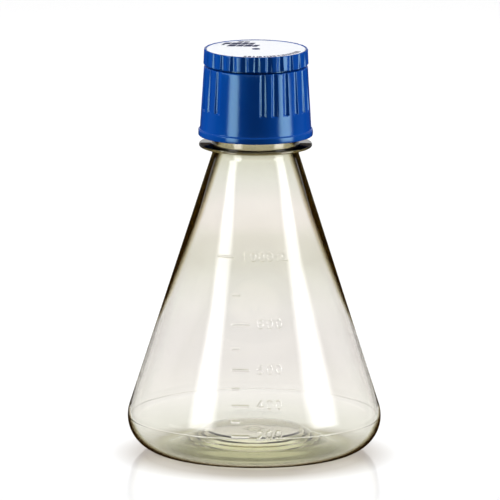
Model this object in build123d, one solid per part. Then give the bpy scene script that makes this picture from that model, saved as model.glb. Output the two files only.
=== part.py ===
from build123d import *
import math
import os

# Conical culture flask, 1000 mL, with a vented screw cap.
# Millimetres and degrees. +Z is up along the axis of the flask, the origin is on the axis in the
# plane that the foot stands on, and -Y is the front, the side that carries the volume scale.

# Flask body: a hollow cone standing on a rounded heel
BODY_R = 68.0
HEEL_R = 18.6
CONE_ANGLE = 17.73
WALL = 1.5

# Foot: a flat contact ring round a pushed-up centre with moulded steps
CONTACT_IN_R = 46.7
PUSH_UP_Z = 9.2
PUSH_UP_R = 25.4
STEP_DROP = 1.7
STEP_PITCH = 3.4
STEP_COUNT = 3
GATE_R = 2.6
GATE_DROP = 1.4
FOOT_WALL = 2.0

# Neck, support flange and rim
NECK_R = 23.2
NECK_FILLET = 6.0
FLANGE_R = 30.3
FLANGE_Z = 165.7
FLANGE_THICK = 1.5
RIM_Z = 205.5

# Screw thread, shared by the neck and the cap
PITCH = 5.0
THREAD_ROOT_W = 2.2
THREAD_CREST_W = 1.0
NECK_THREAD_R = 24.9
NECK_THREAD_Z = 187.5
NECK_THREAD_TURNS = 2.0
CAP_THREAD_R = 23.6
CAP_THREAD_TURNS = 1.5
FLANK_GAP = 0.35

# Volume scale: raised bars on the front of the cone
SCALE_STEP_ML = 100
SCALE_MAX_ML = 1000
SCALE_START_X = -12.2
SCALE_TOP_START_X = -20.9
MAJOR_BAR = 9.4
MINOR_BAR = 4.4
BAR_WIDTH = 0.9
BAR_RAISE = 0.35
BAR_SUNK = 0.5

# Screw cap: flared skirt with a band round its mouth, a deck, and a collar for the vent parts
CAP_BORE_R = 25.3
CAP_MOUTH_R = 28.1
CAP_MOUTH_Z = 171.7
BAND_R = 30.7
BAND_H = 3.2
SKIRT_LOW_R = 29.85
SKIRT_TOP_R = 27.8
SKIRT_TOP_Z = 209.1
DECK_Z = 207.3
DECK_HOLE_R = 18.0
COLLAR_R = 24.8
COLLAR_IN_R = 23.0
COLLAR_TOP_Z = 215.0
BEAD_Z = 212.5
BEAD_OUT = 0.5

# Grip grooves: three groups of six on the skirt, a plain panel between groups
RIB_PITCH = 40.0 / 3.0
GROOVES_PER_GROUP = 6
GROUPS = 3
PANEL_CENTRE = -109.0
GROOVE_CUT_R = 2.3
GROOVE_END_Z = 186.2
GROOVE_FLOOR_LOW_R = 28.1
GROOVE_FLOOR_TOP_R = 27.15

# Vent cover: a fluted lid snapped over the collar, with a recess for the label
COVER_LOW_R = 28.15
COVER_TOP_R = 27.8
COVER_BOTTOM_Z = 210.2
COVER_TOP_Z = 218.5
RECESS_Z = 217.95
RECESS_R = 26.8
COVER_PLATE = 1.9
FLUTE_COUNT = 27
FLUTE_CUT_R = 2.6
FLUTE_DEPTH = 0.6
VENT_HOLE_R = 2.15
PRESS_RIB_IN_R = 19.6
PRESS_RIB_OUT_R = 21.1

# Stack inside the cover: support grid, membrane and its gasket, and the label on top
SUPPORT_R = 22.8
SUPPORT_THICK = 1.3
SPOKES = 6
GRID_HUB_R = 3.2
GRID_MID_R = 9.7
GRID_RIM_R = 17.2
GRID_BAR = 1.4
MEMBRANE_R = 22.0
MEMBRANE_THICK = 0.3
MEMBRANE_GASKET_IN_R = 18.8
MEMBRANE_GASKET_THICK = 2.0
LABEL_R = 26.6
LABEL_THICK = 0.3

# Gasket between the neck rim and the cap deck
NECK_GASKET_IN_R = 20.4
NECK_GASKET_OUT_R = 24.9

TAN = math.tan(math.radians(CONE_ANGLE))
COS = math.cos(math.radians(CONE_ANGLE))
SIN = math.sin(math.radians(CONE_ANGLE))
HEEL_CENTRE_R = BODY_R - HEEL_R
FLANGE_TOP_Z = FLANGE_Z + FLANGE_THICK
NECK_IN_R = NECK_R - WALL
SUPPORT_Z = SKIRT_TOP_Z
MEMBRANE_Z = SUPPORT_Z + SUPPORT_THICK
MEMBRANE_GASKET_Z = MEMBRANE_Z + MEMBRANE_THICK
PRESS_RIB_Z = MEMBRANE_GASKET_Z + MEMBRANE_GASKET_THICK


def body_radius(z, inset=0.0):
    """Radius of the heel or the cone at height z, on the surface inset below the outer one."""
    if z < HEEL_R + (HEEL_R - inset) * SIN:
        return HEEL_CENTRE_R + math.sqrt((HEEL_R - inset) ** 2 - (HEEL_R - z) ** 2)
    return HEEL_CENTRE_R + (HEEL_R - inset) / COS - (z - HEEL_R) * TAN


def cone_height(radius, inset=0.0):
    """Height at which the cone has this radius."""
    return HEEL_R + (HEEL_CENTRE_R + (HEEL_R - inset) / COS - radius) / TAN


def heel_arc(inset):
    """Heel rounding from the foot up to where it meets the cone, as start, middle and end."""
    radius = HEEL_R - inset
    points = []
    for angle in (-90.0, (CONE_ANGLE - 90.0) / 2.0, CONE_ANGLE):
        turn = math.radians(angle)
        points.append((HEEL_CENTRE_R + radius * math.cos(turn), HEEL_R + radius * math.sin(turn)))
    return points


def foot_steps(raise_z):
    """Corner points of the stepped push-up, from its plateau out to the contact ring."""
    points = [(PUSH_UP_R, PUSH_UP_Z + raise_z)]
    for step in range(STEP_COUNT):
        edge_r = PUSH_UP_R + STEP_PITCH * step
        edge_z = PUSH_UP_Z - STEP_DROP * step + raise_z
        points.append((edge_r + STEP_PITCH * 0.5, edge_z - STEP_DROP * 0.9))
        points.append((edge_r + STEP_PITCH, edge_z - STEP_DROP))
    return points


def revolved(lines):
    """Solid of revolution about Z from a closed half outline drawn in the XZ plane."""
    face = make_face(lines)
    return revolve(Plane.XZ * face, axis=Axis.Z)


def lathe(*points, radii=None):
    """Solid of revolution of one closed polygon of radius and height pairs."""
    if radii is None:
        outline = Polyline(*points, close=True)
    else:
        outline = FilletPolyline(*points, radius=radii, close=True)
    return revolved(outline.edges())


def ring(inner_r, outer_r, low_z, high_z):
    """Flat ring with square edges."""
    return lathe((inner_r, low_z), (outer_r, low_z), (outer_r, high_z), (inner_r, high_z))


def helical_ridge(root_r, crest_r, start_z, turns):
    """Trapezoidal ridge along a right-hand helix, from its root radius to its crest radius."""
    helix = Helix(pitch=PITCH, height=PITCH * turns, radius=root_r, center=(0, 0, start_z))
    section = Plane(origin=helix @ 0, x_dir=(1, 0, 0), z_dir=helix % 0)
    rise = crest_r - root_r
    root = THREAD_ROOT_W / 2.0
    crest = THREAD_CREST_W / 2.0
    profile = make_face(Polyline((0, -root), (rise, -crest), (rise, crest), (0, root), close=True))
    return sweep(section * profile, path=helix, is_frenet=True)


def volume_height(millilitres):
    """Height of the inside liquid level for a volume, summed over thin slices from the foot."""
    slice_h = 0.05
    level = WALL
    total = 0.0
    while total < millilitres * 1000.0:
        level += slice_h
        total += inside_area(level - slice_h / 2.0) * slice_h
    return level


def inside_area(z):
    """Inside cross-section area of the body at height z, less the pushed-up centre of the foot."""
    outer = body_radius(z, WALL)
    inner = 0.0
    if z < PUSH_UP_Z + FOOT_WALL:
        slope = (CONTACT_IN_R - PUSH_UP_R) / (PUSH_UP_Z + FOOT_WALL - WALL)
        inner = PUSH_UP_R + (PUSH_UP_Z + FOOT_WALL - z) * slope
    return math.pi * (outer ** 2 - inner ** 2)


def scale_bar(z, start_x, length):
    """Raised bar of the volume scale, wrapped round the body at height z."""
    start = math.degrees(start_x / body_radius(z)) - 90.0
    sweep_angle = math.degrees(length / body_radius(z))
    half = BAR_WIDTH / 2.0
    bar = Polyline(
        (body_radius(z - half) - BAR_SUNK, z - half),
        (body_radius(z - half) + BAR_RAISE, z - half),
        (body_radius(z + half) + BAR_RAISE, z + half),
        (body_radius(z + half) - BAR_SUNK, z + half),
        close=True,
    )
    section = Plane.XZ * make_face(bar)
    return Rot(0, 0, start) * revolve(section, axis=Axis.Z, revolution_arc=sweep_angle)


def make_flask_body():
    """Blown body, neck with its thread and support flange, and the raised volume scale."""
    heel_out = heel_arc(0.0)
    heel_in = heel_arc(WALL)
    under = [(0, PUSH_UP_Z - GATE_DROP), (GATE_R, PUSH_UP_Z - GATE_DROP), (GATE_R + 0.9, PUSH_UP_Z)]
    under += foot_steps(0.0)
    under += [(CONTACT_IN_R, 0), heel_out[0]]
    under_radii = [0.6] * (len(under) - 3) + [1.5]
    wall = [
        heel_out[2],
        (NECK_R, cone_height(NECK_R)),
        (NECK_R, FLANGE_Z),
        (FLANGE_R, FLANGE_Z),
        (FLANGE_R, FLANGE_TOP_Z),
        (NECK_R, FLANGE_TOP_Z),
        (NECK_R, RIM_Z),
        (NECK_IN_R, RIM_Z),
        (NECK_IN_R, cone_height(NECK_IN_R, WALL)),
        heel_in[2],
    ]
    wall_radii = [NECK_FILLET, 0.5, 0.6, 0.6, 0.5, 0.6, 0.6, NECK_FILLET + WALL]
    floor = [heel_in[0], (CONTACT_IN_R, WALL + 0.1), (PUSH_UP_R, PUSH_UP_Z + FOOT_WALL)]
    floor += [(0, PUSH_UP_Z + FOOT_WALL)]
    outline = FilletPolyline(*under, radius=under_radii).edges()
    outline += ThreePointArc(*heel_out).edges()
    outline += FilletPolyline(*wall, radius=wall_radii).edges()
    outline += ThreePointArc(*reversed(heel_in)).edges()
    outline += FilletPolyline(*floor, radius=[4.0, 4.0]).edges()
    outline += Line(floor[-1], under[0]).edges()
    body = revolved(outline)
    body += helical_ridge(NECK_R - 0.4, NECK_THREAD_R, NECK_THREAD_Z, NECK_THREAD_TURNS)
    for volume in range(2 * SCALE_STEP_ML, SCALE_MAX_ML + 1, SCALE_STEP_ML):
        start_x = SCALE_TOP_START_X if volume == SCALE_MAX_ML else SCALE_START_X
        length = MINOR_BAR if volume % (2 * SCALE_STEP_ML) else MAJOR_BAR
        body += scale_bar(volume_height(volume), start_x, length)
    return body


def make_screw_cap():
    """Ribbed skirt, deck and collar in one moulding, with the internal thread."""
    band_top = CAP_MOUTH_Z + BAND_H
    shell = lathe(
        (CAP_MOUTH_R, CAP_MOUTH_Z),
        (BAND_R, CAP_MOUTH_Z),
        (BAND_R, band_top),
        (SKIRT_LOW_R, band_top + 0.3),
        (SKIRT_TOP_R, SKIRT_TOP_Z),
        (COLLAR_R, SKIRT_TOP_Z),
        (COLLAR_R, BEAD_Z - BEAD_OUT * 1.6),
        (COLLAR_R + BEAD_OUT, BEAD_Z),
        (COLLAR_R, BEAD_Z + BEAD_OUT * 1.6),
        (COLLAR_R, COLLAR_TOP_Z),
        (COLLAR_IN_R, COLLAR_TOP_Z),
        (COLLAR_IN_R, SKIRT_TOP_Z),
        (DECK_HOLE_R, SKIRT_TOP_Z),
        (DECK_HOLE_R, DECK_Z),
        (CAP_BORE_R, DECK_Z),
        (CAP_BORE_R, CAP_MOUTH_Z + 11.0),
        (CAP_MOUTH_R - 0.4, CAP_MOUTH_Z + 4.6),
        radii=[0.3, 0.5, 0.5, 0.5, 0.5, 0.3, 0.2, 0.2, 0.2, 0.3, 0.3, 0.2, 0.3, 0.3, 0.5, 2.0, 2.0],
    )
    shell -= grip_grooves()
    half = (THREAD_ROOT_W + THREAD_CREST_W) / 2.0
    thread_z = NECK_THREAD_Z - half - FLANK_GAP
    return shell + helical_ridge(CAP_BORE_R + 0.4, CAP_THREAD_R, thread_z, CAP_THREAD_TURNS)


def grip_grooves():
    """Cutters for the grip grooves, which deepen down the flared skirt and end in a step."""
    length = SKIRT_TOP_Z - GROOVE_END_Z
    lean = math.degrees(math.atan2(GROOVE_FLOOR_LOW_R - GROOVE_FLOOR_TOP_R, length))
    cutter = Cylinder(GROOVE_CUT_R, length + 4.0, align=(Align.CENTER, Align.CENTER, Align.MIN))
    cutter = Pos(GROOVE_FLOOR_LOW_R + GROOVE_CUT_R, 0, GROOVE_END_Z) * Rot(0, -lean, 0) * cutter
    first = PANEL_CENTRE + (360.0 / GROUPS - (GROOVES_PER_GROUP - 1) * RIB_PITCH) / 2.0
    cutters = []
    for group in range(GROUPS):
        for groove in range(GROOVES_PER_GROUP):
            angle = first + group * 360.0 / GROUPS + groove * RIB_PITCH
            cutters.append(Rot(0, 0, angle) * cutter)
    return cutters


def make_vent_cover():
    """Fluted lid with a vent hole, a label recess and a rib that presses on the gasket."""
    plate_z = RECESS_Z - COVER_PLATE
    bore_r = COLLAR_R + 0.1
    cover = lathe(
        (VENT_HOLE_R, plate_z),
        (PRESS_RIB_IN_R, plate_z),
        (PRESS_RIB_IN_R, PRESS_RIB_Z),
        (PRESS_RIB_OUT_R, PRESS_RIB_Z),
        (PRESS_RIB_OUT_R, plate_z),
        (bore_r, plate_z),
        (bore_r, BEAD_Z + BEAD_OUT * 1.9),
        (bore_r + BEAD_OUT, BEAD_Z),
        (bore_r, BEAD_Z - BEAD_OUT * 1.9),
        (bore_r, COVER_BOTTOM_Z),
        (COVER_LOW_R, COVER_BOTTOM_Z),
        (COVER_TOP_R, COVER_TOP_Z),
        (RECESS_R, COVER_TOP_Z),
        (RECESS_R, RECESS_Z),
        (VENT_HOLE_R, RECESS_Z),
        radii=[0.2, 0.3, 0.3, 0.3, 0.3, 0.2, 0.2, 0.2, 0.2, 0.2, 0.4, 0.3, 0.2, 0.2, 0.2],
    )
    height = COVER_TOP_Z - COVER_BOTTOM_Z + 2.0
    cutter = Cylinder(FLUTE_CUT_R, height, align=(Align.CENTER, Align.CENTER, Align.MIN))
    reach = COVER_TOP_R - FLUTE_DEPTH + FLUTE_CUT_R
    flutes = []
    for flute in range(FLUTE_COUNT):
        angle = PANEL_CENTRE + (flute + 0.5) * 360.0 / FLUTE_COUNT
        flutes.append(Rot(0, 0, angle) * Pos(reach, 0, COVER_BOTTOM_Z - 1.0) * cutter)
    return cover - flutes


def make_membrane_support():
    """Flat grid of spokes and rings that the membrane lies on."""
    top = SUPPORT_Z + SUPPORT_THICK
    hub = Cylinder(GRID_HUB_R, SUPPORT_THICK, align=(Align.CENTER, Align.CENTER, Align.MIN))
    bar_length = GRID_RIM_R + 0.5 - GRID_HUB_R / 2.0
    bar = Box(bar_length, GRID_BAR, SUPPORT_THICK, align=(Align.MIN, Align.CENTER, Align.MIN))
    grid = ring(GRID_RIM_R, SUPPORT_R, SUPPORT_Z, top)
    grid += ring(GRID_MID_R - GRID_BAR / 2.0, GRID_MID_R + GRID_BAR / 2.0, SUPPORT_Z, top)
    grid += Pos(0, 0, SUPPORT_Z) * hub
    for spoke in range(SPOKES):
        grid += Rot(0, 0, 360.0 / SPOKES * spoke) * Pos(GRID_HUB_R / 2.0, 0, SUPPORT_Z) * bar
    return grid


def make_vent_membrane():
    """Thin disc of porous film over the grid."""
    disc = Cylinder(MEMBRANE_R, MEMBRANE_THICK, align=(Align.CENTER, Align.CENTER, Align.MIN))
    return Pos(0, 0, MEMBRANE_Z) * disc


def make_membrane_gasket():
    """Soft washer that seals the rim of the membrane under the cover's rib."""
    return ring(MEMBRANE_GASKET_IN_R, MEMBRANE_R, MEMBRANE_GASKET_Z, PRESS_RIB_Z)


def make_neck_gasket():
    """Soft ring between the rim of the neck and the deck of the cap."""
    return lathe(
        (NECK_GASKET_IN_R, RIM_Z),
        (NECK_GASKET_OUT_R, RIM_Z),
        (NECK_GASKET_OUT_R, DECK_Z),
        (NECK_GASKET_IN_R, DECK_Z),
        radii=[0.3, 0.3, 0.3, 0.3],
    )


def make_label_disc():
    """Round label with a hole over the vent."""
    return ring(VENT_HOLE_R + 0.05, LABEL_R, RECESS_Z, RECESS_Z + LABEL_THICK)


PIECES = {
    "flask_body": make_flask_body,
    "screw_cap": make_screw_cap,
    "vent_cover": make_vent_cover,
    "membrane_support": make_membrane_support,
    "vent_membrane": make_vent_membrane,
    "membrane_gasket": make_membrane_gasket,
    "neck_gasket": make_neck_gasket,
    "label_disc": make_label_disc,
}

os.makedirs("parts", exist_ok=True)
for name, make in PIECES.items():
    piece = make()
    print(name, "solids", len(piece.solids()), "volume", round(piece.volume / 1000.0, 2), "cm3")
    export_step(piece, f"parts/{name}.step")
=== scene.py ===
import math

import bpy
import numpy as np
from mathutils import Matrix, Vector


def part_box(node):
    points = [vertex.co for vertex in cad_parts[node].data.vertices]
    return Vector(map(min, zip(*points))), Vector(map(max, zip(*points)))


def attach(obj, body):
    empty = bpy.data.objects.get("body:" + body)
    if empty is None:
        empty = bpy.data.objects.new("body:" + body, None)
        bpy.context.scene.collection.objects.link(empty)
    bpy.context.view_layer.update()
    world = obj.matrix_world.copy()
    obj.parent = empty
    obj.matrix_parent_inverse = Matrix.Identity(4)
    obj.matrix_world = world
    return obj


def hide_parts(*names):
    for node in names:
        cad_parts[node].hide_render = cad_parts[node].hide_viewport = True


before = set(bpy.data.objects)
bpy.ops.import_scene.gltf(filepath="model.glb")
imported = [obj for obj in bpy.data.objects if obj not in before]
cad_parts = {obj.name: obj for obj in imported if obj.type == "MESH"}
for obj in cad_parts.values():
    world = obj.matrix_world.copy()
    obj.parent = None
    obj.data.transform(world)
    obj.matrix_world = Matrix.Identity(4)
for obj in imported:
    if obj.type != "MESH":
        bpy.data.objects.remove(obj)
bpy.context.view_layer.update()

MM = 0.001

# ------------------------------------------------------------------ sizes, in millimetres
# Flask body, as the CAD solid has it
flask_low, flask_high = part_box("flask_body")
BODY_R = (flask_high[0] - flask_low[0]) / 2.0 / MM
RIM_Z = flask_high[2] / MM
HEEL_R = 18.6
CONE_ANGLE = math.radians(17.73)
WALL = 1.5
NECK_R = 23.2
FLANGE_R = 30.3
FLANGE_Z = 165.7
FLANGE_THICK = 1.5
PUSH_UP_Z = 9.2
PUSH_UP_R = 25.4
CONTACT_IN_R = 46.7
FOOT_WALL = 2.0
FOOT_ROUND = 0.6
GATE_R = 2.6
GATE_DROP = 1.4
STEP_COUNT = 3
STEP_WIDTH = 3.4
STEP_DROP = 1.7
SHOULDER_ROUND = 6.0
PART_LINE_Z = 19.1
PART_LINE_HALF = 0.3
PART_LINE_DEPTH = 0.12
HEEL_ROWS_FROM = 19.0  # where the wall's rows start, in degrees down the heel's arc

# Screw thread
PITCH = 5.0
NECK_THREAD_Z = 187.5
NECK_THREAD_TURNS = 2.0
NECK_THREAD_RISE = 1.7
CAP_THREAD_TURNS = 1.5
CAP_THREAD_RISE = 1.7
CAP_THREAD_Z = NECK_THREAD_Z - 1.95

# Cap, vent cover and label, as the CAD solids have them
cap_low, cap_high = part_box("screw_cap")
cover_low, cover_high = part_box("vent_cover")
label_low, label_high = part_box("label_disc")
CAP_MOUTH_Z = cap_low[2] / MM
BAND_R = (cap_high[0] - cap_low[0]) / 2.0 / MM
COLLAR_TOP_Z = cap_high[2] / MM
COVER_BOTTOM_Z = cover_low[2] / MM
COVER_TOP_Z = cover_high[2] / MM
LABEL_R = (label_high[0] - label_low[0]) / 2.0 / MM
LABEL_Z = label_low[2] / MM
LABEL_TOP_Z = label_high[2] / MM

# Cap
CAP_MOUTH_R = 28.1
CAP_BORE_R = 25.3
BAND_H = 3.2
SKIRT_LOW_R = 29.85
SKIRT_TOP_R = 27.8
SKIRT_TOP_Z = 209.1
DECK_LOW_Z = 207.3
DECK_HOLE_R = 18.0
COLLAR_R = 24.8
COLLAR_IN_R = 23.0
BEAD_Z = 212.5  # snap bead on the collar and its groove in the cover
BEAD_RISE = 0.5

# Grip grooves: groups of them between plain panels, angles in degrees
GROUPS = 3
GROOVES_PER_GROUP = 6
PANEL_CENTRE = -19.0
RIB_PITCH = 40.0 / 3.0
GROOVE_R = 2.3
GROOVE_LOW_Z = 186.2
GROOVE_FLOOR_LOW_R = 28.1
GROOVE_FLOOR_TOP_R = 27.15

# Vent cover
COVER_BASE_R = 28.15
COVER_R = 27.8
COVER_BORE_R = 24.9
RECESS_R = 26.8
PLATE_THICK = 1.9
VENT_R = 2.15
PRESS_IN_R = 19.6
PRESS_OUT_R = 21.1
PRESS_LOW_Z = 212.7
FLUTES = 27
FLUTE_R = 2.6
FLUTE_FLOOR_R = 27.2

# Label and its print
LABEL_HOLE_R = 2.2
INK = 0.02  # how far the print stands above the label's face
DASH_R = 23.6
DASH_STEP_R = 24.0  # radius at which the dashes' spacing is measured

# Volume scale on the front
SCALE_STEP = 100
SCALE_MAX = 1000
SCALE_REACH = 0.7  # radians to either side of the front
SCALE_X = -12.2
SCALE_TOP_X = -20.9
MAJOR_BAR = 9.4
MINOR_BAR = 4.4
BAR_HALF = 0.45
RAISE = 0.35
DIGIT_H = 4.6
DIGIT_W = 3.3
STROKE = 0.30
DIGIT_RAISE = 0.27

TAN = math.tan(CONE_ANGLE)
COS = math.cos(CONE_ANGLE)
SIN = math.sin(CONE_ANGLE)
HEEL_C = BODY_R - HEEL_R


# ------------------------------------------------------------------ shape helpers
def body_radius(z, inset=0.0):
    """Radius of the heel and cone at heights z (array), on the surface inset below the outside."""
    z = np.asarray(z, dtype=float)
    radius = HEEL_R - inset
    arc = HEEL_C + np.sqrt(np.maximum(radius**2 - (HEEL_R - z) ** 2, 0.0))
    cone = HEEL_C + radius / COS - (z - HEEL_R) * TAN
    return np.where(z < HEEL_R + radius * SIN, arc, cone)


def cone_height(radius, inset=0.0):
    return HEEL_R + (HEEL_C + (HEEL_R - inset) / COS - radius) / TAN


def smooth(low, high, x):
    t = np.clip((x - low) / (high - low), 0.0, 1.0)
    return t * t * (3.0 - 2.0 * t)


def smooth_min(a, b, k):
    h = np.clip(0.5 + 0.5 * (b - a) / k, 0.0, 1.0)
    return b * (1.0 - h) + a * h - k * h * (1.0 - h)


def rounded(corners, steps=5):
    """Outline through (radius, height, rounding) corners, each interior corner turned into an arc."""
    points = [np.array(corners[0][:2], dtype=float)]
    for before, corner, after in zip(corners, corners[1:], corners[2:]):
        here = np.array(corner[:2], dtype=float)
        to_before = np.array(before[:2]) - here
        to_after = np.array(after[:2]) - here
        to_before /= np.linalg.norm(to_before)
        to_after /= np.linalg.norm(to_after)
        if corner[2] == 0.0:
            points.append(here)
            continue
        half = math.acos(np.clip(to_before @ to_after, -1.0, 1.0)) / 2.0
        reach = corner[2] / math.tan(half)
        middle = to_before + to_after
        centre = here + middle / np.linalg.norm(middle) * corner[2] / math.sin(half)
        start = here + to_before * reach - centre
        end = here + to_after * reach - centre
        for step in range(steps + 1):
            t = step / steps
            spoke = start * (1.0 - t) + end * t
            points.append(centre + spoke / np.linalg.norm(spoke) * corner[2])
    points.append(np.array(corners[-1][:2], dtype=float))
    return points


def divided(points, longest):
    """The same outline with its long runs split into shorter ones."""
    out = [points[0]]
    for a, b in zip(points, points[1:]):
        count = max(1, int(math.ceil(np.linalg.norm(b - a) / longest)))
        for step in range(1, count + 1):
            out.append(a + (b - a) * step / count)
    return out


def mesh_object(name, verts, faces, sharp=None):
    mesh = bpy.data.meshes.new(name)
    mesh.from_pydata(verts, [], faces)
    mesh.validate()
    mesh.polygons.foreach_set("use_smooth", [True] * len(mesh.polygons))
    if sharp is not None:
        mesh.set_sharp_from_angle(angle=math.radians(sharp))
    mesh.update()
    obj = bpy.data.objects.new(name, mesh)
    bpy.context.scene.collection.objects.link(obj)
    return obj


def turned(name, outline, angles, shape=None, loop=False, sharp=None):
    """Surface of revolution of an outline. shape(r, z, angle) may move points before they are placed.
    Angle 0 is the front, -Y, and grows towards +X. An open outline starts and ends on the axis."""
    outline = np.array(outline, dtype=float)
    r = np.repeat(outline[:, :1], len(angles), axis=1)
    z = np.repeat(outline[:, 1:], len(angles), axis=1)
    theta = np.repeat(angles[None, :], len(outline), axis=0)
    if shape is not None:
        r, z = shape(r, z, theta)
    xyz = np.stack([r * np.sin(theta), -r * np.cos(theta), z], axis=2) * MM
    rows, cols = r.shape
    right = (np.arange(cols) + 1) % cols
    index = np.arange(rows * cols).reshape(rows, cols)
    if loop:
        lower, upper = index, np.roll(index, -1, axis=0)
        verts = xyz.reshape(-1, 3)
        ends = []
    else:
        # The first and last rows each shrink to one vertex on the axis, closed by a fan of triangles
        index = index[: rows - 2] + 1
        lower, upper = index[:-1], index[1:]
        verts = np.vstack([xyz[0].mean(axis=0), xyz[1:-1].reshape(-1, 3), xyz[-1].mean(axis=0)])
        last = np.full(cols, len(verts) - 1)
        first_fan = np.stack([0 * last, index[0][right], index[0]], axis=1)
        last_fan = np.stack([last, index[-1], index[-1][right]], axis=1)
        ends = first_fan.tolist() + last_fan.tolist()
    quads = np.stack([lower, lower[:, right], upper[:, right], upper], axis=2).reshape(-1, 4)
    return mesh_object(name, verts.tolist(), quads.tolist() + ends, sharp)


def even_angles(count):
    return np.arange(count) * 2.0 * math.pi / count


# ------------------------------------------------------------------ volume scale
def volume_heights():
    """Height in mm of the liquid at each mark. The push-up is taken as a flat-topped cone."""
    step = 0.02
    z = np.arange(WALL, RIM_Z, step) + step / 2.0
    outer = body_radius(z, WALL)
    top = PUSH_UP_Z + FOOT_WALL
    slope = (CONTACT_IN_R - PUSH_UP_R) / (top - WALL)
    inner = np.where(z < top, PUSH_UP_R + (top - z) * slope, 0.0)
    millilitres = np.cumsum(math.pi * (outer**2 - inner**2)) * step / 1000.0
    volumes = range(2 * SCALE_STEP, SCALE_MAX + 1, SCALE_STEP)
    return {v: float(np.interp(v, millilitres, z + step / 2.0)) for v in volumes}


def ellipse(cx, cy, rx, ry, start=0.0, end=360.0, count=20):
    turns = np.radians(np.linspace(start, end, count + 1))
    return [(cx + rx * math.cos(t), cy + ry * math.sin(t)) for t in turns]


GLYPHS = {
    "0": [ellipse(0.5, 0.5, 0.42, 0.5)],
    "1": [[(0.25, 0.78), (0.55, 1.0), (0.55, 0.0)]],
    "2": [ellipse(0.5, 0.72, 0.42, 0.28, 180.0, -25.0, 12) + [(0.08, 0.0), (0.94, 0.0)]],
    "4": [[(0.72, 0.0), (0.72, 1.0), (0.05, 0.3), (0.98, 0.3)]],
    "6": [ellipse(0.5, 0.3, 0.42, 0.3), [(0.08, 0.32), (0.12, 0.6), (0.3, 0.85), (0.74, 1.0)]],
    "8": [ellipse(0.5, 0.76, 0.35, 0.24), ellipse(0.5, 0.27, 0.42, 0.27)],
    "m": [
        [(0.0, 0.0), (0.0, 0.62)],
        [(0.0, 0.5), (0.15, 0.62), (0.35, 0.6), (0.45, 0.45), (0.45, 0.0)],
        [(0.45, 0.5), (0.62, 0.62), (0.82, 0.6), (0.92, 0.45), (0.92, 0.0)],
    ],
    "L": [[(0.0, 1.0), (0.0, 0.0), (0.62, 0.0)]],
}


def text_strokes(text, centres, y):
    """Line segments (x0, y0, x1, y1) of the raised numbers, each glyph on its own centre."""
    segments = []
    for glyph, centre in zip(text, centres):
        left = centre - DIGIT_W / 2.0
        for line in GLYPHS[glyph]:
            places = [(left + u * DIGIT_W, y + v * DIGIT_H) for u, v in line]
            segments += [start + end for start, end in zip(places, places[1:])]
    return segments


def scale_marks():
    """For each mark: its height, and the strokes of its bar and its number in the unrolled surface."""
    marks = []
    for volume, z in volume_heights().items():
        top = volume == SCALE_MAX
        major = volume % (2 * SCALE_STEP) == 0
        start = SCALE_TOP_X if top else SCALE_X
        length = MAJOR_BAR if major else MINOR_BAR
        bars = [(start + BAR_HALF, 0.0, start + length - BAR_HALF, 0.0)]
        words = []
        low = -DIGIT_H / 2.0 + 0.5
        if top:
            words = text_strokes("1000mL", (-5.4, -0.9, 3.6, 8.0, 13.4, 17.6), low)
        elif major:
            words = text_strokes(str(volume), (3.0, 8.0, 12.9), low)
        marks.append((z, bars, words))
    return marks


def stroke_height(x, y, segments, half, rise):
    """Raised height of strokes at points x, y of the unrolled surface, with soft shoulders."""
    nearest = np.full(x.shape, 1e9)
    for x0, y0, x1, y1 in segments:
        dx, dy = x1 - x0, y1 - y0
        square = max(dx * dx + dy * dy, 1e-9)
        t = np.clip(((x - x0) * dx + (y - y0) * dy) / square, 0.0, 1.0)
        nearest = np.minimum(nearest, np.hypot(x - x0 - t * dx, y - y0 - t * dy))
    return rise * (1.0 - smooth(half - 0.14, half + 0.16, nearest))


def helix_rise(z, theta, start_z, turns, rise, root_half=1.1, crest_half=0.5):
    """How far a right-hand trapezoid thread stands out at height z and angle theta, with run-outs.
    It starts at height start_z on the -X side."""
    phase = np.mod(theta + math.pi / 2.0, 2.0 * math.pi) / (2.0 * math.pi)
    out = np.zeros_like(z)
    for turn in range(int(math.ceil(turns)) + 1):
        along = turn + phase
        centre = start_z + along * PITCH
        side = 1.0 - np.clip((np.abs(z - centre) - crest_half) / (root_half - crest_half), 0.0, 1.0)
        fade = smooth(0.0, 0.06, along) * smooth(0.0, 0.06, turns - along)
        out = np.maximum(out, rise * side * fade)
    return out


# ------------------------------------------------------------------ the flask
def flask_rows():
    """Heights of the outer wall's rows: dense on the marks and the mould line, sparse elsewhere."""
    low = HEEL_R - HEEL_R * math.sin(math.radians(HEEL_ROWS_FROM))
    middle = 30.0
    top = cone_height(NECK_R) - 3.0
    rows = list(np.arange(low, middle, 1.2)) + list(np.arange(middle, top, 5.0))
    for z, _, words in scale_marks():
        reach = 2.9 if words else 0.9
        rows += list(np.arange(z - reach, z + reach + 0.5, 0.25))
    rows += list(np.arange(PART_LINE_Z - 0.5, PART_LINE_Z + 0.51, 0.1))
    rows = sorted(row for row in rows if row < top)
    kept = [rows[0]]
    for row in rows[1:]:
        if row - kept[-1] > 0.085:
            kept.append(row)
    return kept


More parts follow.
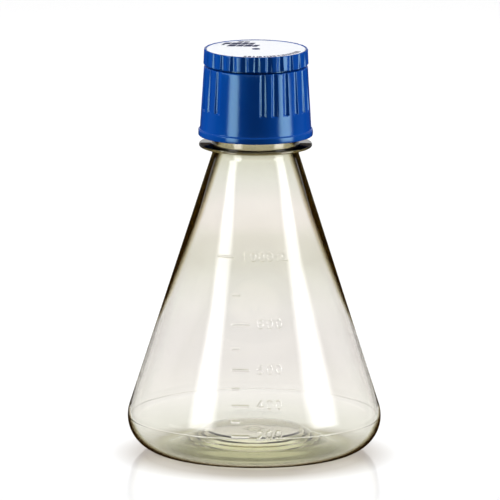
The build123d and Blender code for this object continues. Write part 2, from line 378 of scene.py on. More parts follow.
def foot_corners():
    """Underside from the axis outwards: gate mark, push-up, its steps and the contact ring."""
    gate_z = PUSH_UP_Z - GATE_DROP
    corners = [
        (0.0, gate_z, 0.0),
        (GATE_R, gate_z, FOOT_ROUND),
        (GATE_R + 0.9, PUSH_UP_Z, FOOT_ROUND),
        (PUSH_UP_R, PUSH_UP_Z, FOOT_ROUND),
    ]
    for step in range(STEP_COUNT):
        r0 = PUSH_UP_R + STEP_WIDTH * step
        z0 = PUSH_UP_Z - STEP_DROP * step
        corners.append((r0 + 0.5 * STEP_WIDTH, z0 - 0.9 * STEP_DROP, FOOT_ROUND))
        corners.append((r0 + STEP_WIDTH, z0 - STEP_DROP, FOOT_ROUND))
    return corners + [(CONTACT_IN_R, 0.0, 1.5), (HEEL_C, 0.0, 0.0)]


def heel_arc(radius, degrees):
    return [
        np.array((HEEL_C + radius * math.cos(angle), HEEL_R + radius * math.sin(angle)))
        for angle in np.radians(degrees)
    ]


def flask_outline():
    """Half section of the flask: out from the axis under the foot, up the outside, down the inside."""
    points = divided(rounded(foot_corners(), 4), 4.0)
    points += heel_arc(HEEL_R, np.arange(-87.0, -HEEL_ROWS_FROM - 1.0, 3.0))
    points += [np.array((float(body_radius(z)), z)) for z in flask_rows()]
    neck = [
        (float(points[-1][0]), float(points[-1][1]), 0.0),
        (NECK_R, cone_height(NECK_R), SHOULDER_ROUND),
        (NECK_R, FLANGE_Z, 0.5),
        (FLANGE_R, FLANGE_Z, 0.6),
        (FLANGE_R, FLANGE_Z + FLANGE_THICK, 0.6),
        (NECK_R, FLANGE_Z + FLANGE_THICK, 0.5),
        (NECK_R, NECK_THREAD_Z - 2.0, 0.0),
    ]
    points += rounded(neck, 6)[1:]
    thread_top = NECK_THREAD_Z + NECK_THREAD_TURNS * PITCH + 2.0
    points += [np.array((NECK_R, z)) for z in np.arange(NECK_THREAD_Z - 1.8, thread_top, 0.2)]
    in_r = NECK_R - WALL
    inner = [
        (NECK_R, thread_top, 0.0),
        (NECK_R, RIM_Z, 0.6),
        (in_r, RIM_Z, 0.6),
        (in_r, cone_height(in_r, WALL), SHOULDER_ROUND + WALL),
        (float(body_radius(24.0, WALL)), 24.0, 0.0),
    ]
    points += divided(rounded(inner, 6), 12.0)[:-1]
    points += heel_arc(HEEL_R - WALL, np.arange(math.degrees(CONE_ANGLE), -90.1, -4.0))
    bed_z = PUSH_UP_Z + FOOT_WALL
    bed = [
        (HEEL_C, WALL, 0.0),
        (CONTACT_IN_R, WALL + 0.1, 4.0),
        (PUSH_UP_R, bed_z, 4.0),
        (0.0, bed_z, 0.0),
    ]
    return points + divided(rounded(bed, 6), 4.0)


def flask_shape(r, z, theta):
    """Adds the volume scale, the mould line and the neck thread to the outside."""
    outside = np.abs(r - body_radius(z)) < 0.02
    wrapped = np.mod(theta + math.pi, 2.0 * math.pi) - math.pi
    on_front = np.abs(wrapped) < SCALE_REACH
    rise = np.zeros_like(r)
    for mark_z, bars, words in scale_marks():
        near = outside & (np.abs(z - mark_z) < 4.0) & on_front
        x = wrapped[near] * float(body_radius(mark_z))
        y = (z[near] - mark_z) / COS
        height = stroke_height(x, y, bars, BAR_HALF, RAISE)
        if words:
            height = np.maximum(height, stroke_height(x, y, words, STROKE, DIGIT_RAISE))
        rise[near] = np.maximum(rise[near], height)
    line = np.clip(1.0 - np.abs(z - PART_LINE_Z) / PART_LINE_HALF, 0.0, 1.0)
    rise = np.where(outside & (line > 0.0), -PART_LINE_DEPTH * line, rise)
    rise = np.minimum(rise, np.maximum(BODY_R + 0.01 - r, 0.0) + on_front * RAISE)
    r = r + rise * COS
    z = z + rise * SIN
    neck = np.abs(r - NECK_R) < 0.001
    r = r + neck * helix_rise(z, theta, NECK_THREAD_Z, NECK_THREAD_TURNS, NECK_THREAD_RISE)
    return r, z


def set_vertex_value(mesh, name, values):
    mesh.attributes.new(name, "FLOAT", "POINT").data.foreach_set("value", values.astype(np.float32))


def mark_flask(obj):
    """Vertex values. "outer": 1 on the outside of heel, cone, neck and flange, 0 inside and underneath;
    the painted edge shade goes there.
    The second value, for painted shade: 1 on the ring round the push-up, on the flange and where it joins
    the neck; painted shade darkens these thicker parts."""
    mesh = obj.data
    count = len(mesh.vertices)
    places = np.empty(count * 3)
    normals = np.empty(count * 3)
    mesh.vertices.foreach_get("co", places)
    mesh.vertices.foreach_get("normal", normals)
    x, y, z = (places.reshape(-1, 3) / MM).T
    nx, ny, nz = normals.reshape(-1, 3).T
    r = np.hypot(x, y)
    past_foot = (z > HEEL_R) | (r > HEEL_C - 0.5)
    outward = (nx * x + ny * y > 0.0) & (np.abs(nz) < 0.97) & past_foot
    flange = (r > NECK_R + 0.2) & (np.abs(z - FLANGE_Z) < 2.0)
    set_vertex_value(mesh, "outer", np.where(outward | flange, smooth(0.0, 0.4, z), 0.0))
    # Painted shade goes on the thicker parts: the ring round the push-up, the flange and its joint to the
    # neck.
    foot = smooth(27.0, 32.0, r) * (1.0 - smooth(50.0, 56.0, r)) * (z < 12.0)
    above = smooth(FLANGE_Z + 2.0, FLANGE_Z + 5.0, z)
    collar = (r < NECK_R + 0.2) * smooth(FLANGE_Z - 1.5, FLANGE_Z, z) * (1.0 - above)
    set_vertex_value(mesh, "thick_part_shade", np.where(flange, 1.0, np.maximum(foot, collar)))


def flask_angles():
    """Fine steps across the volume scale, coarser ones round the rest."""
    front = np.radians(np.arange(-34.0, 29.01, 0.24))
    count = 200
    rest = np.linspace(front[-1], front[0] + 2.0 * math.pi, count + 2)[1:-1]
    return np.concatenate([front, rest])


# ------------------------------------------------------------------ the cap
def cap_outline():
    """Closed half section of the cap, with extra rows where the grooves end and along the thread."""
    band_top = CAP_MOUTH_Z + BAND_H
    start = (CAP_MOUTH_R - 0.1, CAP_MOUTH_Z + 1.5, 0.0)
    corners = [
        start,
        (CAP_MOUTH_R, CAP_MOUTH_Z, 0.3),
        (BAND_R, CAP_MOUTH_Z, 0.5),
        (BAND_R, band_top, 0.5),
        (SKIRT_LOW_R, band_top + 0.3, 0.5),
        (SKIRT_TOP_R, SKIRT_TOP_Z, 0.6),
        (COLLAR_R, SKIRT_TOP_Z, 0.3),
        (COLLAR_R, BEAD_Z - 0.8, 0.0),
        (COLLAR_R + BEAD_RISE, BEAD_Z, 0.2),
        (COLLAR_R, BEAD_Z + 0.8, 0.0),
        (COLLAR_R, COLLAR_TOP_Z, 0.3),
        (COLLAR_IN_R, COLLAR_TOP_Z, 0.3),
        (COLLAR_IN_R, SKIRT_TOP_Z, 0.2),
        (DECK_HOLE_R, SKIRT_TOP_Z, 0.3),
        (DECK_HOLE_R, DECK_LOW_Z, 0.3),
        (CAP_BORE_R, DECK_LOW_Z, 0.5),
        (CAP_BORE_R, CAP_MOUTH_Z + 11.0, 2.0),
        (CAP_MOUTH_R - 0.4, CAP_MOUTH_Z + 4.6, 2.0),
        start,
    ]
    points = divided(rounded(corners, 5), 2.5)
    thread_rows_top = 203.0
    rows = []
    for a, b in zip(points, points[1:]):
        rows.append(a)
        on_skirt = min(a[0], b[0]) > 27.5 and b[1] > a[1]
        groove_end = on_skirt and a[1] < GROOVE_LOW_Z + 1.3 and b[1] > GROOVE_LOW_Z - 1.3
        in_bore = max(abs(a[0] - CAP_BORE_R), abs(b[0] - CAP_BORE_R)) < 0.01
        if groove_end or (in_bore and a[1] < thread_rows_top):
            rows += [a + (b - a) * t for t in np.arange(1, 12) / 12.0]
    # The last row is halfway along the straight run back to the first, so it can go
    return rows[:-1]


def cutter_edge(axis_r, cutter_r, off):
    """Radius at which a round cutter with its axis at axis_r meets the direction off from it."""
    side = axis_r * np.sin(off)
    return axis_r * np.cos(off) - np.sqrt(np.maximum(cutter_r**2 - side**2, 0.0))


def groove_radius(z, theta, centres):
    """Radius of the nearest groove's round cutter at height z, far outside where there is none."""
    far_out = 99.0
    lean = np.clip((z - GROOVE_LOW_Z) / (SKIRT_TOP_Z - GROOVE_LOW_Z), 0.0, 1.0)
    axis_r = GROOVE_FLOOR_LOW_R + (GROOVE_FLOOR_TOP_R - GROOVE_FLOOR_LOW_R) * lean + GROOVE_R
    best = np.full(z.shape, far_out)
    for centre in centres:
        off = np.mod(theta - centre + math.pi, 2.0 * math.pi) - math.pi
        cut = np.where(np.abs(off) < 0.2, cutter_edge(axis_r, GROOVE_R, off), far_out)
        best = np.minimum(best, cut)
    return best


def cap_shape(r, z, theta):
    """Grip grooves on the skirt, the thread in the bore."""
    sector = 360.0 / GROUPS
    centres = []
    for group in range(GROUPS):
        first = PANEL_CENTRE + sector * group + (sector - (GROOVES_PER_GROUP - 1) * RIB_PITCH) / 2.0
        centres += [math.radians(first + RIB_PITCH * k) for k in range(GROOVES_PER_GROUP)]
    skirt = (r > 26.5) & (z > GROOVE_LOW_Z - 0.6)
    cut = smooth_min(r, groove_radius(z, theta, centres), 0.3)
    weight = smooth(GROOVE_LOW_Z - 0.25, GROOVE_LOW_Z + 0.3, z)
    r = np.where(skirt, r + (np.minimum(cut, r) - r) * weight, r)
    bore = np.abs(r - CAP_BORE_R) < 0.001
    r = r - bore * helix_rise(z, theta, CAP_THREAD_Z, CAP_THREAD_TURNS, CAP_THREAD_RISE)
    return r, z


def cover_outline():
    plate = LABEL_Z - PLATE_THICK
    corners = [
        (8.0, plate, 0.0),
        (PRESS_IN_R, plate, 0.3),
        (PRESS_IN_R, PRESS_LOW_Z, 0.3),
        (PRESS_OUT_R, PRESS_LOW_Z, 0.3),
        (PRESS_OUT_R, plate, 0.3),
        (COVER_BORE_R, plate, 0.2),
        (COVER_BORE_R, BEAD_Z + 0.95, 0.0),
        (COVER_BORE_R + BEAD_RISE, BEAD_Z, 0.2),
        (COVER_BORE_R, BEAD_Z - 0.95, 0.0),
        (COVER_BORE_R, COVER_BOTTOM_Z, 0.2),
        (COVER_BASE_R, COVER_BOTTOM_Z, 0.5),
        (COVER_R, COVER_TOP_Z, 0.45),
        (RECESS_R, COVER_TOP_Z, 0.25),
        (RECESS_R, LABEL_Z, 0.2),
        (VENT_R, LABEL_Z, 0.25),
        (VENT_R, plate, 0.2),
        (8.0, plate, 0.0),
    ]
    return divided(rounded(corners, 5)[:-1], 1.6)


def cover_shape(r, z, theta):
    """Shallow round flutes down the outside of the cover."""
    pitch = 2.0 * math.pi / FLUTES
    off = np.mod(theta - math.radians(PANEL_CENTRE), pitch) - pitch / 2.0
    cut = cutter_edge(FLUTE_FLOOR_R + FLUTE_R, FLUTE_R, off)
    outside = r > FLUTE_FLOOR_R - 0.2
    return np.where(outside, np.minimum(smooth_min(r, cut, 0.25), r), r), z


# ------------------------------------------------------------------ the label
def label_outline():
    corners = [
        (10.0, LABEL_Z, 0.0),
        (LABEL_R, LABEL_Z, 0.04),
        (LABEL_R, LABEL_TOP_Z, 0.12),
        (LABEL_HOLE_R, LABEL_TOP_Z, 0.1),
        (LABEL_HOLE_R, LABEL_Z, 0.04),
        (10.0, LABEL_Z, 0.0),
    ]
    return divided(rounded(corners, 3)[:-1], 3.0)


def ink_patch(verts, faces, corners):
    """Thin printed patch: a closed slab with the given outline, half sunk in the label's face."""
    base = len(verts)
    count = len(corners)
    for z in (LABEL_TOP_Z - INK, LABEL_TOP_Z + INK):
        verts += [(x * MM, y * MM, z * MM) for x, y in corners]
    faces.append([base + i for i in reversed(range(count))])
    faces.append([base + count + i for i in range(count)])
    for i in range(count):
        j = (i + 1) % count
        faces.append((base + i, base + j, base + count + j, base + count + i))


def spun(x, y, angle):
    return x * math.cos(angle) - y * math.sin(angle), x * math.sin(angle) + y * math.cos(angle)


def bar_corners(centre, length, height, angle, slant=0.0):
    out = []
    for u, v in ((-0.5, -0.5), (0.5, -0.5), (0.5, 0.5), (-0.5, 0.5)):
        dx, dy = spun(u * length + slant * v * height, v * height, angle)
        out.append((centre[0] + dx, centre[1] + dy))
    return out


def mark_bars(verts, faces):
    """Four rows of slanted bars. Each row: centre x and y, height, the lengths of its bars."""
    tilt = math.radians(-3.0)
    gap = 0.5
    rows = [
        (-6.6, 21.2, 3.2, (3.0, 2.6)),
        (-9.0, 16.3, 5.2, (3.6, 5.2, 3.4, 2.6)),
        (-6.8, 9.9, 5.8, (4.4, 3.4, 4.2, 2.8)),
        (-17.4, 13.0, 3.4, (1.4,)),
    ]
    for cx, cy, height, lengths in rows:
        x = -(sum(lengths) + gap * (len(lengths) - 1)) / 2.0
        for length in lengths:
            dx, dy = spun(x + length / 2.0, 0.0, tilt)
            ink_patch(verts, faces, bar_corners((cx + dx, cy + dy), length, height, tilt, 0.3))
            x += length + gap


def dash_row(verts, faces):
    """Short dashes of uneven length along the front of the rim."""
    rng = np.random.default_rng(7)
    angle = -104.0
    while angle < -14.0:
        length = float(rng.uniform(0.7, 2.0))
        turn = math.radians(angle)
        ink_patch(verts, faces, bar_corners(spun(DASH_R, 0.0, turn), length, 3.0, turn + math.pi / 2.0))
        angle += math.degrees((length + float(rng.uniform(0.5, 0.9))) / DASH_STEP_R)


def hole_ring(verts, faces):
    """Painted shade: a dark ink ring over the edge and down the wall of the label's hole, standing in for
    the shade inside it.
    """
    turns = np.radians(np.arange(0.0, 360.0, 10.0))
    count = len(turns)
    base = len(verts)
    low, high = LABEL_TOP_Z - INK, LABEL_TOP_Z + INK
    inner, outer = LABEL_HOLE_R - 0.1, LABEL_HOLE_R + 0.1
    section = ((inner, LABEL_Z), (outer, low), (outer, high), (inner, high))
    for r, z in section:
        verts += [(r * math.cos(t) * MM, r * math.sin(t) * MM, z * MM) for t in turns]
    for ring in range(len(section)):
        here = base + ring * count
        after = base + (ring + 1) % len(section) * count
        for i in range(count):
            j = (i + 1) % count
            faces.append((here + i, here + j, after + j, after + i))


def label_print():
    """Print of an abstract mark and a row of dashes along the rim, and a painted shade ring round the
    hole; no lettering.
    """
    verts, faces = [], []
    mark_bars(verts, faces)
    dash_row(verts, faces)
    hole_ring(verts, faces)
    mesh = bpy.data.meshes.new("label_print")
    mesh.from_pydata(verts, [], faces)
    mesh.update()
    obj = bpy.data.objects.new("label_print", mesh)
    bpy.context.scene.collection.objects.link(obj)
    return obj


# ------------------------------------------------------------------ material helpers
def new_material(name):
    mat = bpy.data.materials.new(name)
    mat.use_nodes = True
    nodes = mat.node_tree.nodes
    links = mat.node_tree.links
    return mat, nodes, links, nodes["Principled BSDF"]


def grey(value):
    return (value, value, value, 1.0)


def add_noise(nodes, links, scale, detail=3.0, stretch=(1.0, 1.0, 1.0)):
    coords = nodes.new("ShaderNodeTexCoord")
    mapping = nodes.new("ShaderNodeMapping")
    mapping.inputs["Scale"].default_value = stretch
    noise = nodes.new("ShaderNodeTexNoise")
    noise.inputs["Scale"].default_value = scale
    noise.inputs["Detail"].default_value = detail
    links.new(coords.outputs["Object"], mapping.inputs["Vector"])
    links.new(mapping.outputs["Vector"], noise.inputs["Vector"])
    return noise.outputs["Fac"]


def add_ramp(nodes, links, source, stops):
    ramp = nodes.new("ShaderNodeValToRGB")
    elements = ramp.color_ramp.elements
    elements[0].position, elements[0].color = stops[0]
    elements[1].position, elements[1].color = stops[-1]
    for position, color in stops[1:-1]:
        element = elements.new(position)
        element.color = color
    links.new(source, ramp.inputs["Fac"])
    return ramp.outputs["Color"]


def add_bump(nodes, links, height, shader, strength, distance):
    bump = nodes.new("ShaderNodeBump")
    bump.inputs["Strength"].default_value = strength
    bump.inputs["Distance"].default_value = distance
    links.new(height, bump.inputs["Height"])
    links.new(bump.outputs["Normal"], shader.inputs["Normal"])


def add_math(nodes, links, operation, source, number):
    step = nodes.new("ShaderNodeMath")
    step.operation = operation
    step.inputs[1].default_value = number
    links.new(source, step.inputs[0])
    return step.outputs[0]


def add_mix(nodes, links, factor, a, b, blend="MIX"):
    """Mix of two colours. Factor, a and b are each a socket or a plain value."""
    mix = nodes.new("ShaderNodeMix")
    mix.data_type = "RGBA"
    mix.blend_type = blend
    for name, value in (("Factor", factor), ("A", a), ("B", b)):
        if isinstance(value, bpy.types.NodeSocket):
            links.new(value, mix.inputs[name])
        else:
            mix.inputs[name].default_value = value
    return mix.outputs["Result"]


def add_vertex_value(nodes, name):
    attribute = nodes.new("ShaderNodeAttribute")
    attribute.attribute_type = "GEOMETRY"
    attribute.attribute_name = name
    return attribute.outputs["Fac"]


def add_facing(nodes):
    """0 where the surface is seen square on, 1 where it is seen on edge."""
    facing = nodes.new("ShaderNodeLayerWeight")
    facing.inputs["Blend"].default_value = 0.5
    return facing.outputs["Facing"]


def add_distance(nodes, links, centre=(0.0, 0.0, 0.0), stretch=(1.0, 1.0, 1.0)):
    """Distance in metres from centre, after the offset from it is stretched."""
    coords = nodes.new("ShaderNodeTexCoord")
    offset = nodes.new("ShaderNodeVectorMath")
    offset.operation = "SUBTRACT"
    offset.inputs[1].default_value = centre
    scaled = nodes.new("ShaderNodeVectorMath")
    scaled.operation = "MULTIPLY"
    scaled.inputs[1].default_value = stretch
    length = nodes.new("ShaderNodeVectorMath")
    length.operation = "LENGTH"
    links.new(coords.outputs["Object"], offset.inputs[0])
    links.new(offset.outputs["Vector"], scaled.inputs[0])
    links.new(scaled.outputs["Vector"], length.inputs[0])
    return length.outputs["Value"]


def add_range(nodes, links, source, start, end, start_value, end_value):
    """Goes from start_value to end_value while source goes from start to end."""
    ranged = nodes.new("ShaderNodeMapRange")
    ranged.inputs["From Min"].default_value = start
    ranged.inputs["From Max"].default_value = end
    ranged.inputs["To Min"].default_value = start_value
    ranged.inputs["To Max"].default_value = end_value
    links.new(source, ranged.inputs["Value"])
    return ranged.outputs["Result"]


def height_ramp(nodes, links, stops):
    """Colour or value that follows the height above the floor, in millimetres."""
    coords = nodes.new("ShaderNodeTexCoord")
    split = nodes.new("ShaderNodeSeparateXYZ")
    links.new(coords.outputs["Object"], split.inputs["Vector"])
    share = add_math(nodes, links, "DIVIDE", split.outputs["Z"], RIM_Z * MM)
    return add_ramp(nodes, links, share, [(z / RIM_Z, color) for z, color in stops])


# ------------------------------------------------------------------ materials
def edge_tint(nodes, links):
    """Painted shade: dark brown where the outer wall is seen on edge, standing in for dark surroundings
    refracted there. Ease says how far from the edge it starts.
    """
    ease = height_ramp(
        nodes,
        links,
        [
            (3.0, grey(0.46)),
            (17.0, grey(0.48)),
            (24.0, grey(0.65)),
            (54.0, grey(0.80)),
            (65.0, grey(0.73)),
            (76.0, grey(0.57)),
            (87.0, grey(0.47)),
            (108.0, grey(0.37)),
            (130.0, grey(0.27)),
            (164.4, grey(0.17)),
            (164.9, grey(0.38)),
            (167.0, grey(0.38)),
            (169.0, grey(0.20)),
        ],
    )
    edge = nodes.new("ShaderNodeMath")
    edge.operation = "SUBTRACT"
    links.new(add_facing(nodes), edge.inputs[0])
    links.new(ease, edge.inputs[1])
    rim = add_ramp(
        nodes,
        links,
        edge.outputs[0],
        [
            (0.16, grey(1.0)),
            (0.22, (0.46, 0.40, 0.24, 1.0)),
            (0.27, (0.07, 0.045, 0.015, 1.0)),
            (0.32, (0.0005, 0.0001, 0.0, 1.0)),
            (0.51, (0.0004, 0.0001, 0.0, 1.0)),
            (0.65, (0.012, 0.007, 0.001, 1.0)),
        ],
    )
    return add_mix(nodes, links, add_vertex_value(nodes, "outer"), grey(1.0), rim)


def clear_plastic():
    """Clear plastic: a faint warm colour, yellow-green through the bulk, with painted shade that changes
    with height and painted dark edges where the wall is seen on edge.
    """
    mat, nodes, links, shader = new_material("clear_plastic")
    shader.inputs["Transmission Weight"].default_value = 1.0
    shader.inputs["IOR"].default_value = 1.56
    # Partly the plastic's faint warm colour, partly painted shade: darker and lighter bands up the height,
    # darkest under the flange.
    tint_and_height_shade = height_ramp(
        nodes,
        links,
        [
            (0.0, (0.91, 0.92, 0.85, 1.0)),
            (12.0, (0.92, 0.92, 0.88, 1.0)),
            (17.0, (0.97, 0.96, 0.94, 1.0)),
            (60.0, (0.90, 0.88, 0.88, 1.0)),
            (85.0, (0.91, 0.90, 0.88, 1.0)),
            (108.0, (0.82, 0.81, 0.75, 1.0)),
            (128.0, (0.945, 0.915, 0.90, 1.0)),
            (150.0, (0.86, 0.86, 0.82, 1.0)),
            (164.0, (0.78, 0.78, 0.68, 1.0)),
        ],
    )
    tint_and_shade = add_mix(nodes, links, 1.0, tint_and_height_shade, edge_tint(nodes, links), "MULTIPLY")
    # Painted shade on the thicker parts, darker higher up, standing in for dark surroundings seen through
    # the thicker plastic.
    thick_part_shade_color = height_ramp(nodes, links, [(20.0, (0.70, 0.70, 0.56, 1.0)), (160.0, (0.30, 0.24, 0.13, 1.0))])
    thick_part_shade = add_mix(nodes, links, add_vertex_value(nodes, "thick_part_shade"), tint_and_shade, thick_part_shade_color, "MULTIPLY")
    links.new(thick_part_shade, shader.inputs["Base Color"])
    noise = add_noise(nodes, links, 260.0, 2.0)
    rough = add_ramp(nodes, links, noise, [(0.3, grey(0.0)), (0.8, grey(0.035))])
    links.new(rough, shader.inputs["Roughness"])
    waves = add_noise(nodes, links, 38.0, 1.0, (1.0, 1.0, 0.5))
    add_bump(nodes, links, waves, shader, 0.06, 0.0004)
    absorb = nodes.new("ShaderNodeVolumeAbsorption")
    absorb.inputs["Color"].default_value = (0.86, 0.82, 0.42, 1.0)
    absorb.inputs["Density"].default_value = 26.0
    links.new(absorb.outputs["Volume"], nodes["Material Output"].inputs["Volume"])
    return mat


def blue_plastic():
    mat, nodes, links, shader = new_material("blue_plastic")
    stops = [
        (0.25, (0.0004, 0.050, 0.31, 1.0)),
        (0.55, (0.0006, 0.060, 0.34, 1.0)),
        (0.8, (0.001, 0.072, 0.37, 1.0)),
    ]
    color = add_ramp(nodes, links, add_noise(nodes, links, 45.0), stops)
    links.new(color, shader.inputs["Base Color"])
    fine = add_noise(nodes, links, 900.0, 2.0)
    rough = add_ramp(nodes, links, fine, [(0.3, grey(0.11)), (0.75, grey(0.17))])
    links.new(rough, shader.inputs["Roughness"])
    shader.inputs["IOR"].default_value = 1.5
    shader.inputs["Specular Tint"].default_value = (0.5, 0.9, 1.0, 1.0)
    orange_peel = add_noise(nodes, links, 320.0, 2.0)
    add_bump(nodes, links, orange_peel, shader, 0.12, 0.0002)
    return mat


# Ink of the print, also used for the painted shade ring round the label's hole.
def label_ink():
    mat, nodes, links, shader = new_material("label_ink")
    stops = [(0.3, (0.004, 0.006, 0.05, 1.0)), (0.75, (0.012, 0.018, 0.09, 1.0))]
    color = add_ramp(nodes, links, add_noise(nodes, links, 1500.0), stops)
    links.new(color, shader.inputs["Base Color"])
    shader.inputs["Roughness"].default_value = 0.45
    return mat


def pale_material(name, low, high, rough, scale, bump):
    """Pale soft or printed surface: its colour and its fine bump follow the same noise."""
    mat, nodes, links, shader = new_material(name)
    noise = add_noise(nodes, links, scale, 4.0)
    color = add_ramp(nodes, links, noise, [(0.3, low), (0.7, high)])
    links.new(color, shader.inputs["Base Color"])
    shader.inputs["Roughness"].default_value = rough
    add_bump(nodes, links, noise, shader, bump, 0.0001)
    return mat


# ------------------------------------------------------------------ pieces
def dress(obj, material, body, slot, *nodes):
    obj.data.materials.clear()
    obj.data.materials.append(material)
    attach(obj, body)
    if nodes:
        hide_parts(*nodes)


round_steps = even_angles(864)
blue = blue_plastic()
flask = turned("clear_flask", flask_outline(), flask_angles(), flask_shape)
mark_flask(flask)
dress(flask, clear_plastic(), "flask", "clear_plastic", "flask_body")
cap = turned("cap_skirt", cap_outline(), round_steps, cap_shape, loop=True, sharp=48.0)
dress(cap, blue, "cap", "blue_plastic", "screw_cap")
cover = turned("cap_vent_cover", cover_outline(), round_steps, cover_shape, loop=True, sharp=48.0)
dress(cover, blue, "cap", "blue_plastic", "vent_cover")
label = turned("round_label", label_outline(), even_angles(180), loop=True, sharp=30.0)
film_low = (0.88, 0.90, 0.95, 1.0)
film_high = (0.95, 0.96, 0.98, 1.0)
film = pale_material("label_film", film_low, film_high, 0.38, 500.0, 0.05)
dress(label, film, "cap", "white_label", "label_disc")
dress(label_print(), label_ink(), "cap", "blue_plastic")

inner_looks = {
    "membrane_support": pale_material("natural_plastic", grey(0.72), grey(0.82), 0.4, 300.0, 0.1),
    "vent_membrane": pale_material("porous_film", grey(0.84), grey(0.93), 0.8, 2500.0, 0.4),
    "membrane_gasket": pale_material("gasket_silicone", grey(0.66), grey(0.76), 0.6, 400.0, 0.1),
    "neck_gasket": pale_material("neck_silicone", grey(0.66), grey(0.76), 0.55, 400.0, 0.1),
}
for node, material in inner_looks.items():
    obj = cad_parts[node]
    obj.data.materials.clear()
    obj.data.materials.append(material)


# ------------------------------------------------------------------ floor
FLOOR_COLOR = (0.88, 0.88, 0.885, 1.0)
FLOOR_GLOW = 0.03
FAR_GLOW = 0.95
# Painted light: how strongly the floor glows under the flask's foot.
UNDER_GLOW = 0.12


def floor_square(name, half, z):
    """Square of pale gloss floor, which the object's gloss doesn't see. The floor's own gloss fades
    out at grazing angles. Returns what its material is built with."""
    corners = [(-half, -half, 0.0), (half, -half, 0.0), (half, half, 0.0), (-half, half, 0.0)]
    mesh = bpy.data.meshes.new(name)
    mesh.from_pydata(corners, [], [(0, 1, 2, 3)])
    obj = bpy.data.objects.new(name, mesh)
    bpy.context.scene.collection.objects.link(obj)
    obj.location.z = z
    obj.visible_glossy = False
    obj.visible_diffuse = False
    mat, nodes, links, shader = new_material(name)
    shader.inputs["Base Color"].default_value = FLOOR_COLOR
    shader.inputs["IOR"].default_value = 1.25
    noise = add_noise(nodes, links, 3.0, 2.0)
    rough = add_ramp(nodes, links, noise, [(0.3, grey(0.09)), (0.7, grey(0.12))])
    links.new(rough, shader.inputs["Roughness"])
    gloss = add_ramp(nodes, links, add_facing(nodes), [(0.87, grey(0.5)), (0.93, grey(0.0))])
    links.new(gloss, shader.inputs["Specular IOR Level"])
    mesh.materials.append(mat)
    return nodes, links, shader


def far_floor():
    """Floor out to the horizon, which glows more with distance so that it stays pale."""
    nodes, links, shader = floor_square("floor", 40.0, -0.00004)
    shader.inputs["Emission Color"].default_value = grey(1.0)
    glow = add_range(nodes, links, add_distance(nodes, links), 1.5, 9.0, FLOOR_GLOW, FAR_GLOW)
    links.new(glow, shader.inputs["Emission Strength"])


def near_floor():
    """Floor round the object. It carries a painted contact shadow, a painted pool of light under the foot
    in place of the light that a clear vessel gathers there, and a painted dark pool of shade that shows
    through the thicker front of the foot."""
    nodes, links, shader = floor_square("near_floor", 0.46, -0.00002)
    shader.inputs["Emission Color"].default_value = (1.0, 1.0, 0.85, 1.0)
    # Painted light: the floor glows under the foot, fading out at its edge.
    glow = add_range(nodes, links, add_distance(nodes, links), 0.046, 0.056, UNDER_GLOW, FLOOR_GLOW)
    links.new(glow, shader.inputs["Emission Strength"])
    centre = (0.0, -0.012, 0.0)
    tenths = add_math(nodes, links, "MULTIPLY", add_distance(nodes, links, centre), 10.0)
    # Painted contact shadow round the foot.
    shadow = [
        (0.34, (0.66, 0.65, 0.58, 1.0)),
        (0.44, (0.44, 0.40, 0.36, 1.0)),
        (0.59, (0.49, 0.45, 0.42, 1.0)),
        (0.78, FLOOR_COLOR),
    ]
    # Painted dark pool of shade under the front of the foot, with a painted bright spot at its middle.
    stretched = add_distance(nodes, links, centre, (0.62, 1.0, 1.0))
    stretched_tenths = add_math(nodes, links, "MULTIPLY", stretched, 10.0)
    pool = [
        (0.14, (1.2, 1.2, 1.15, 1.0)),
        (0.20, (0.20, 0.20, 0.13, 1.0)),
        (0.26, (0.20, 0.20, 0.13, 1.0)),
        (0.34, grey(1.0)),
    ]
    shadow_ramp = add_ramp(nodes, links, tenths, shadow)
    pool_ramp = add_ramp(nodes, links, stretched_tenths, pool)
    shade = add_mix(nodes, links, 1.0, shadow_ramp, pool_ramp, "MULTIPLY")
    links.new(shade, shader.inputs["Base Color"])


# ------------------------------------------------------------------ light
def direction(azimuth, elevation):
    """Unit vector; azimuth 0 is the front, -Y, and grows towards +X. Both are in degrees."""
    a, e = math.radians(azimuth), math.radians(elevation)
    return Vector((math.cos(e) * math.sin(a), -math.cos(e) * math.cos(a), math.sin(e)))


def glow_material(name, strength):
    """Pure light, scaled by the vertex value "glow"."""
    mat = bpy.data.materials.new(name)
    mat.use_nodes = True
    nodes = mat.node_tree.nodes
    links = mat.node_tree.links
    nodes.clear()
    level = add_math(nodes, links, "MULTIPLY", add_vertex_value(nodes, "glow"), strength)
    emission = nodes.new("ShaderNodeEmission")
    output = nodes.new("ShaderNodeOutputMaterial")
    links.new(level, emission.inputs["Strength"])
    links.new(emission.outputs["Emission"], output.inputs["Surface"])
    return mat


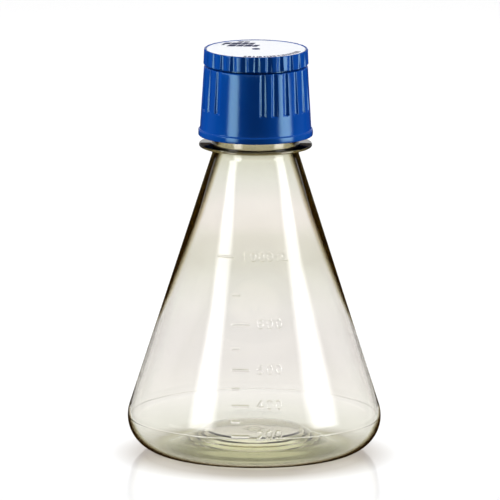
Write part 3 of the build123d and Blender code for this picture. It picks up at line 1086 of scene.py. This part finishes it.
def glow_sheet(name, radius, edges, strength, soft=0.3):
    """Curved soft-light sheet round the object, seen in gloss only, fading over the share soft of its
    width at each side and at its lower end.
    edges holds (height in mm, left azimuth, right azimuth), with azimuths as in direction()."""
    heights, lefts, rights = np.array(edges, dtype=float).T
    rows, cols = 41, 49
    verts = []
    glow = []
    across = np.linspace(0.0, 1.0, cols)
    side = smooth(0.0, soft + 1e-6, np.minimum(across, 1.0 - across) + 1e-6)
    for up in np.linspace(0.0, 1.0, rows):
        z = heights[0] + (heights[-1] - heights[0]) * up
        left = np.interp(z, heights, lefts)
        right = np.interp(z, heights, rights)
        for azimuth in np.radians(left + (right - left) * across):
            verts.append((radius * math.sin(azimuth), -radius * math.cos(azimuth), z * MM))
        glow.append(side * float(smooth(0.0, soft * 0.5 + 1e-6, up + 1e-6)))
    faces = []
    for row in range(rows - 1):
        for col in range(cols - 1):
            a = row * cols + col
            faces.append((a, a + 1, a + cols + 1, a + cols))
    mesh = bpy.data.meshes.new(name)
    mesh.from_pydata(verts, [], faces)
    set_vertex_value(mesh, "glow", np.concatenate(glow))
    mesh.materials.append(glow_material(name, strength))
    obj = bpy.data.objects.new(name, mesh)
    bpy.context.scene.collection.objects.link(obj)
    obj.visible_camera = False
    obj.visible_diffuse = False
    obj.visible_transmission = False
    obj.visible_shadow = False


def key_light(name, azimuth, elevation, distance, size, power):
    data = bpy.data.lights.new(name, "AREA")
    data.shape = "DISK"
    data.size = size
    data.energy = power
    obj = bpy.data.objects.new(name, data)
    bpy.context.scene.collection.objects.link(obj)
    toward = direction(azimuth, elevation)
    obj.location = toward * distance + Vector((0.0, 0.0, 0.1))
    obj.rotation_euler = (-toward).to_track_quat("-Z", "Y").to_euler()
    obj.visible_camera = False
    obj.visible_transmission = False
    obj.visible_glossy = False
    obj.light_linking.blocker_collection = opaque


def studio_world():
    """White surroundings, which the object's gloss sees dim."""
    world = bpy.data.worlds.new("studio")
    world.use_nodes = True
    nodes = world.node_tree.nodes
    links = world.node_tree.links
    coords = nodes.new("ShaderNodeTexCoord")
    split = nodes.new("ShaderNodeSeparateXYZ")
    links.new(coords.outputs["Generated"], split.inputs["Vector"])
    rise = [
        (0.0, (0.03, 0.014, 0.004, 1.0)),
        (0.12, (0.05, 0.03, 0.015, 1.0)),
        (0.30, grey(0.15)),
        (1.0, grey(0.25)),
    ]
    in_gloss = add_ramp(nodes, links, split.outputs["Z"], rise)
    path = nodes.new("ShaderNodeLightPath")
    others = add_mix(nodes, links, path.outputs["Is Glossy Ray"], grey(0.3), in_gloss)
    clear = nodes.new("ShaderNodeMath")
    clear.operation = "MAXIMUM"
    links.new(path.outputs["Is Camera Ray"], clear.inputs[0])
    links.new(path.outputs["Is Transmission Ray"], clear.inputs[1])
    seen = add_mix(nodes, links, clear.outputs[0], others, grey(1.0))
    links.new(seen, nodes["Background"].inputs["Color"])
    return world


# Left and right soft strips: (height in mm, left azimuth, right azimuth)
LEFT_BAND = [
    (60, -63, -34),
    (143, -62, -31),
    (198, -60, -33),
    (253, -70, -33),
    (270, -77, -37),
    (300, -84, -48),
    (450, -92, -70),
]
RIGHT_BAND = [
    (60, 50, 82),
    (155, 43, 82),
    (207, 45, 78),
    (253, 46, 85),
    (275, 50, 92),
    (300, 50, 88),
    (450, 44, 64),
]

near_floor()
far_floor()
glow_sheet("low_ring", 4.0, [(420, -180, 180), (900, -180, 180)], 1.0, 0.0)
glow_sheet("left_strip", 0.36, LEFT_BAND, 7.5)
glow_sheet("right_strip", 0.36, RIGHT_BAND, 7.5)
glow_sheet("left_side", 0.5, [(20, -125, -74), (200, -125, -86), (300, -105, -95)], 0.1)
glow_sheet("right_side", 0.5, [(20, 78, 125), (200, 86, 125), (300, 70, 105)], 0.1)
opaque = bpy.data.collections.new("casts_lamp_shadow")
for piece in (cap, cover, label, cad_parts["membrane_support"]):
    opaque.objects.link(piece)
key_light("left_soft", -95.0, 25.0, 5.0, 2.4, 297.0)
key_light("right_soft", 95.0, 25.0, 5.0, 2.4, 290.0)

scene = bpy.context.scene
scene.world = studio_world()
scene.view_settings.view_transform = "Standard"
scene.view_settings.look = "None"
scene.cycles.max_bounces = 24
scene.cycles.transmission_bounces = 24
scene.cycles.glossy_bounces = 12
scene.cycles.diffuse_bounces = 4

# ------------------------------------------------------------------ camera
# Long lens, 11 degrees above the horizon, aimed at the middle of the flask's height
CAMERA_DISTANCE = 7.0
CAMERA_ELEVATION = 11.0
CAMERA_ROLL = math.radians(0.27)
VIEW_WIDTH = 0.26814
data = bpy.data.cameras.new("camera")
data.sensor_width = 36.0
data.lens = data.sensor_width * CAMERA_DISTANCE / VIEW_WIDTH
data.clip_start = 0.05
data.clip_end = 200.0
camera = bpy.data.objects.new("camera", data)
scene.collection.objects.link(camera)
target = Vector((-0.0027, 0.0, 0.1087))
away = direction(0.0, CAMERA_ELEVATION)
camera.location = target + away * CAMERA_DISTANCE
look = (-away).to_track_quat("-Z", "Y").to_matrix().to_4x4()
roll = Matrix.Rotation(CAMERA_ROLL, 4, "Z")
camera.matrix_world = Matrix.Translation(camera.location) @ look @ roll
scene.camera = camera
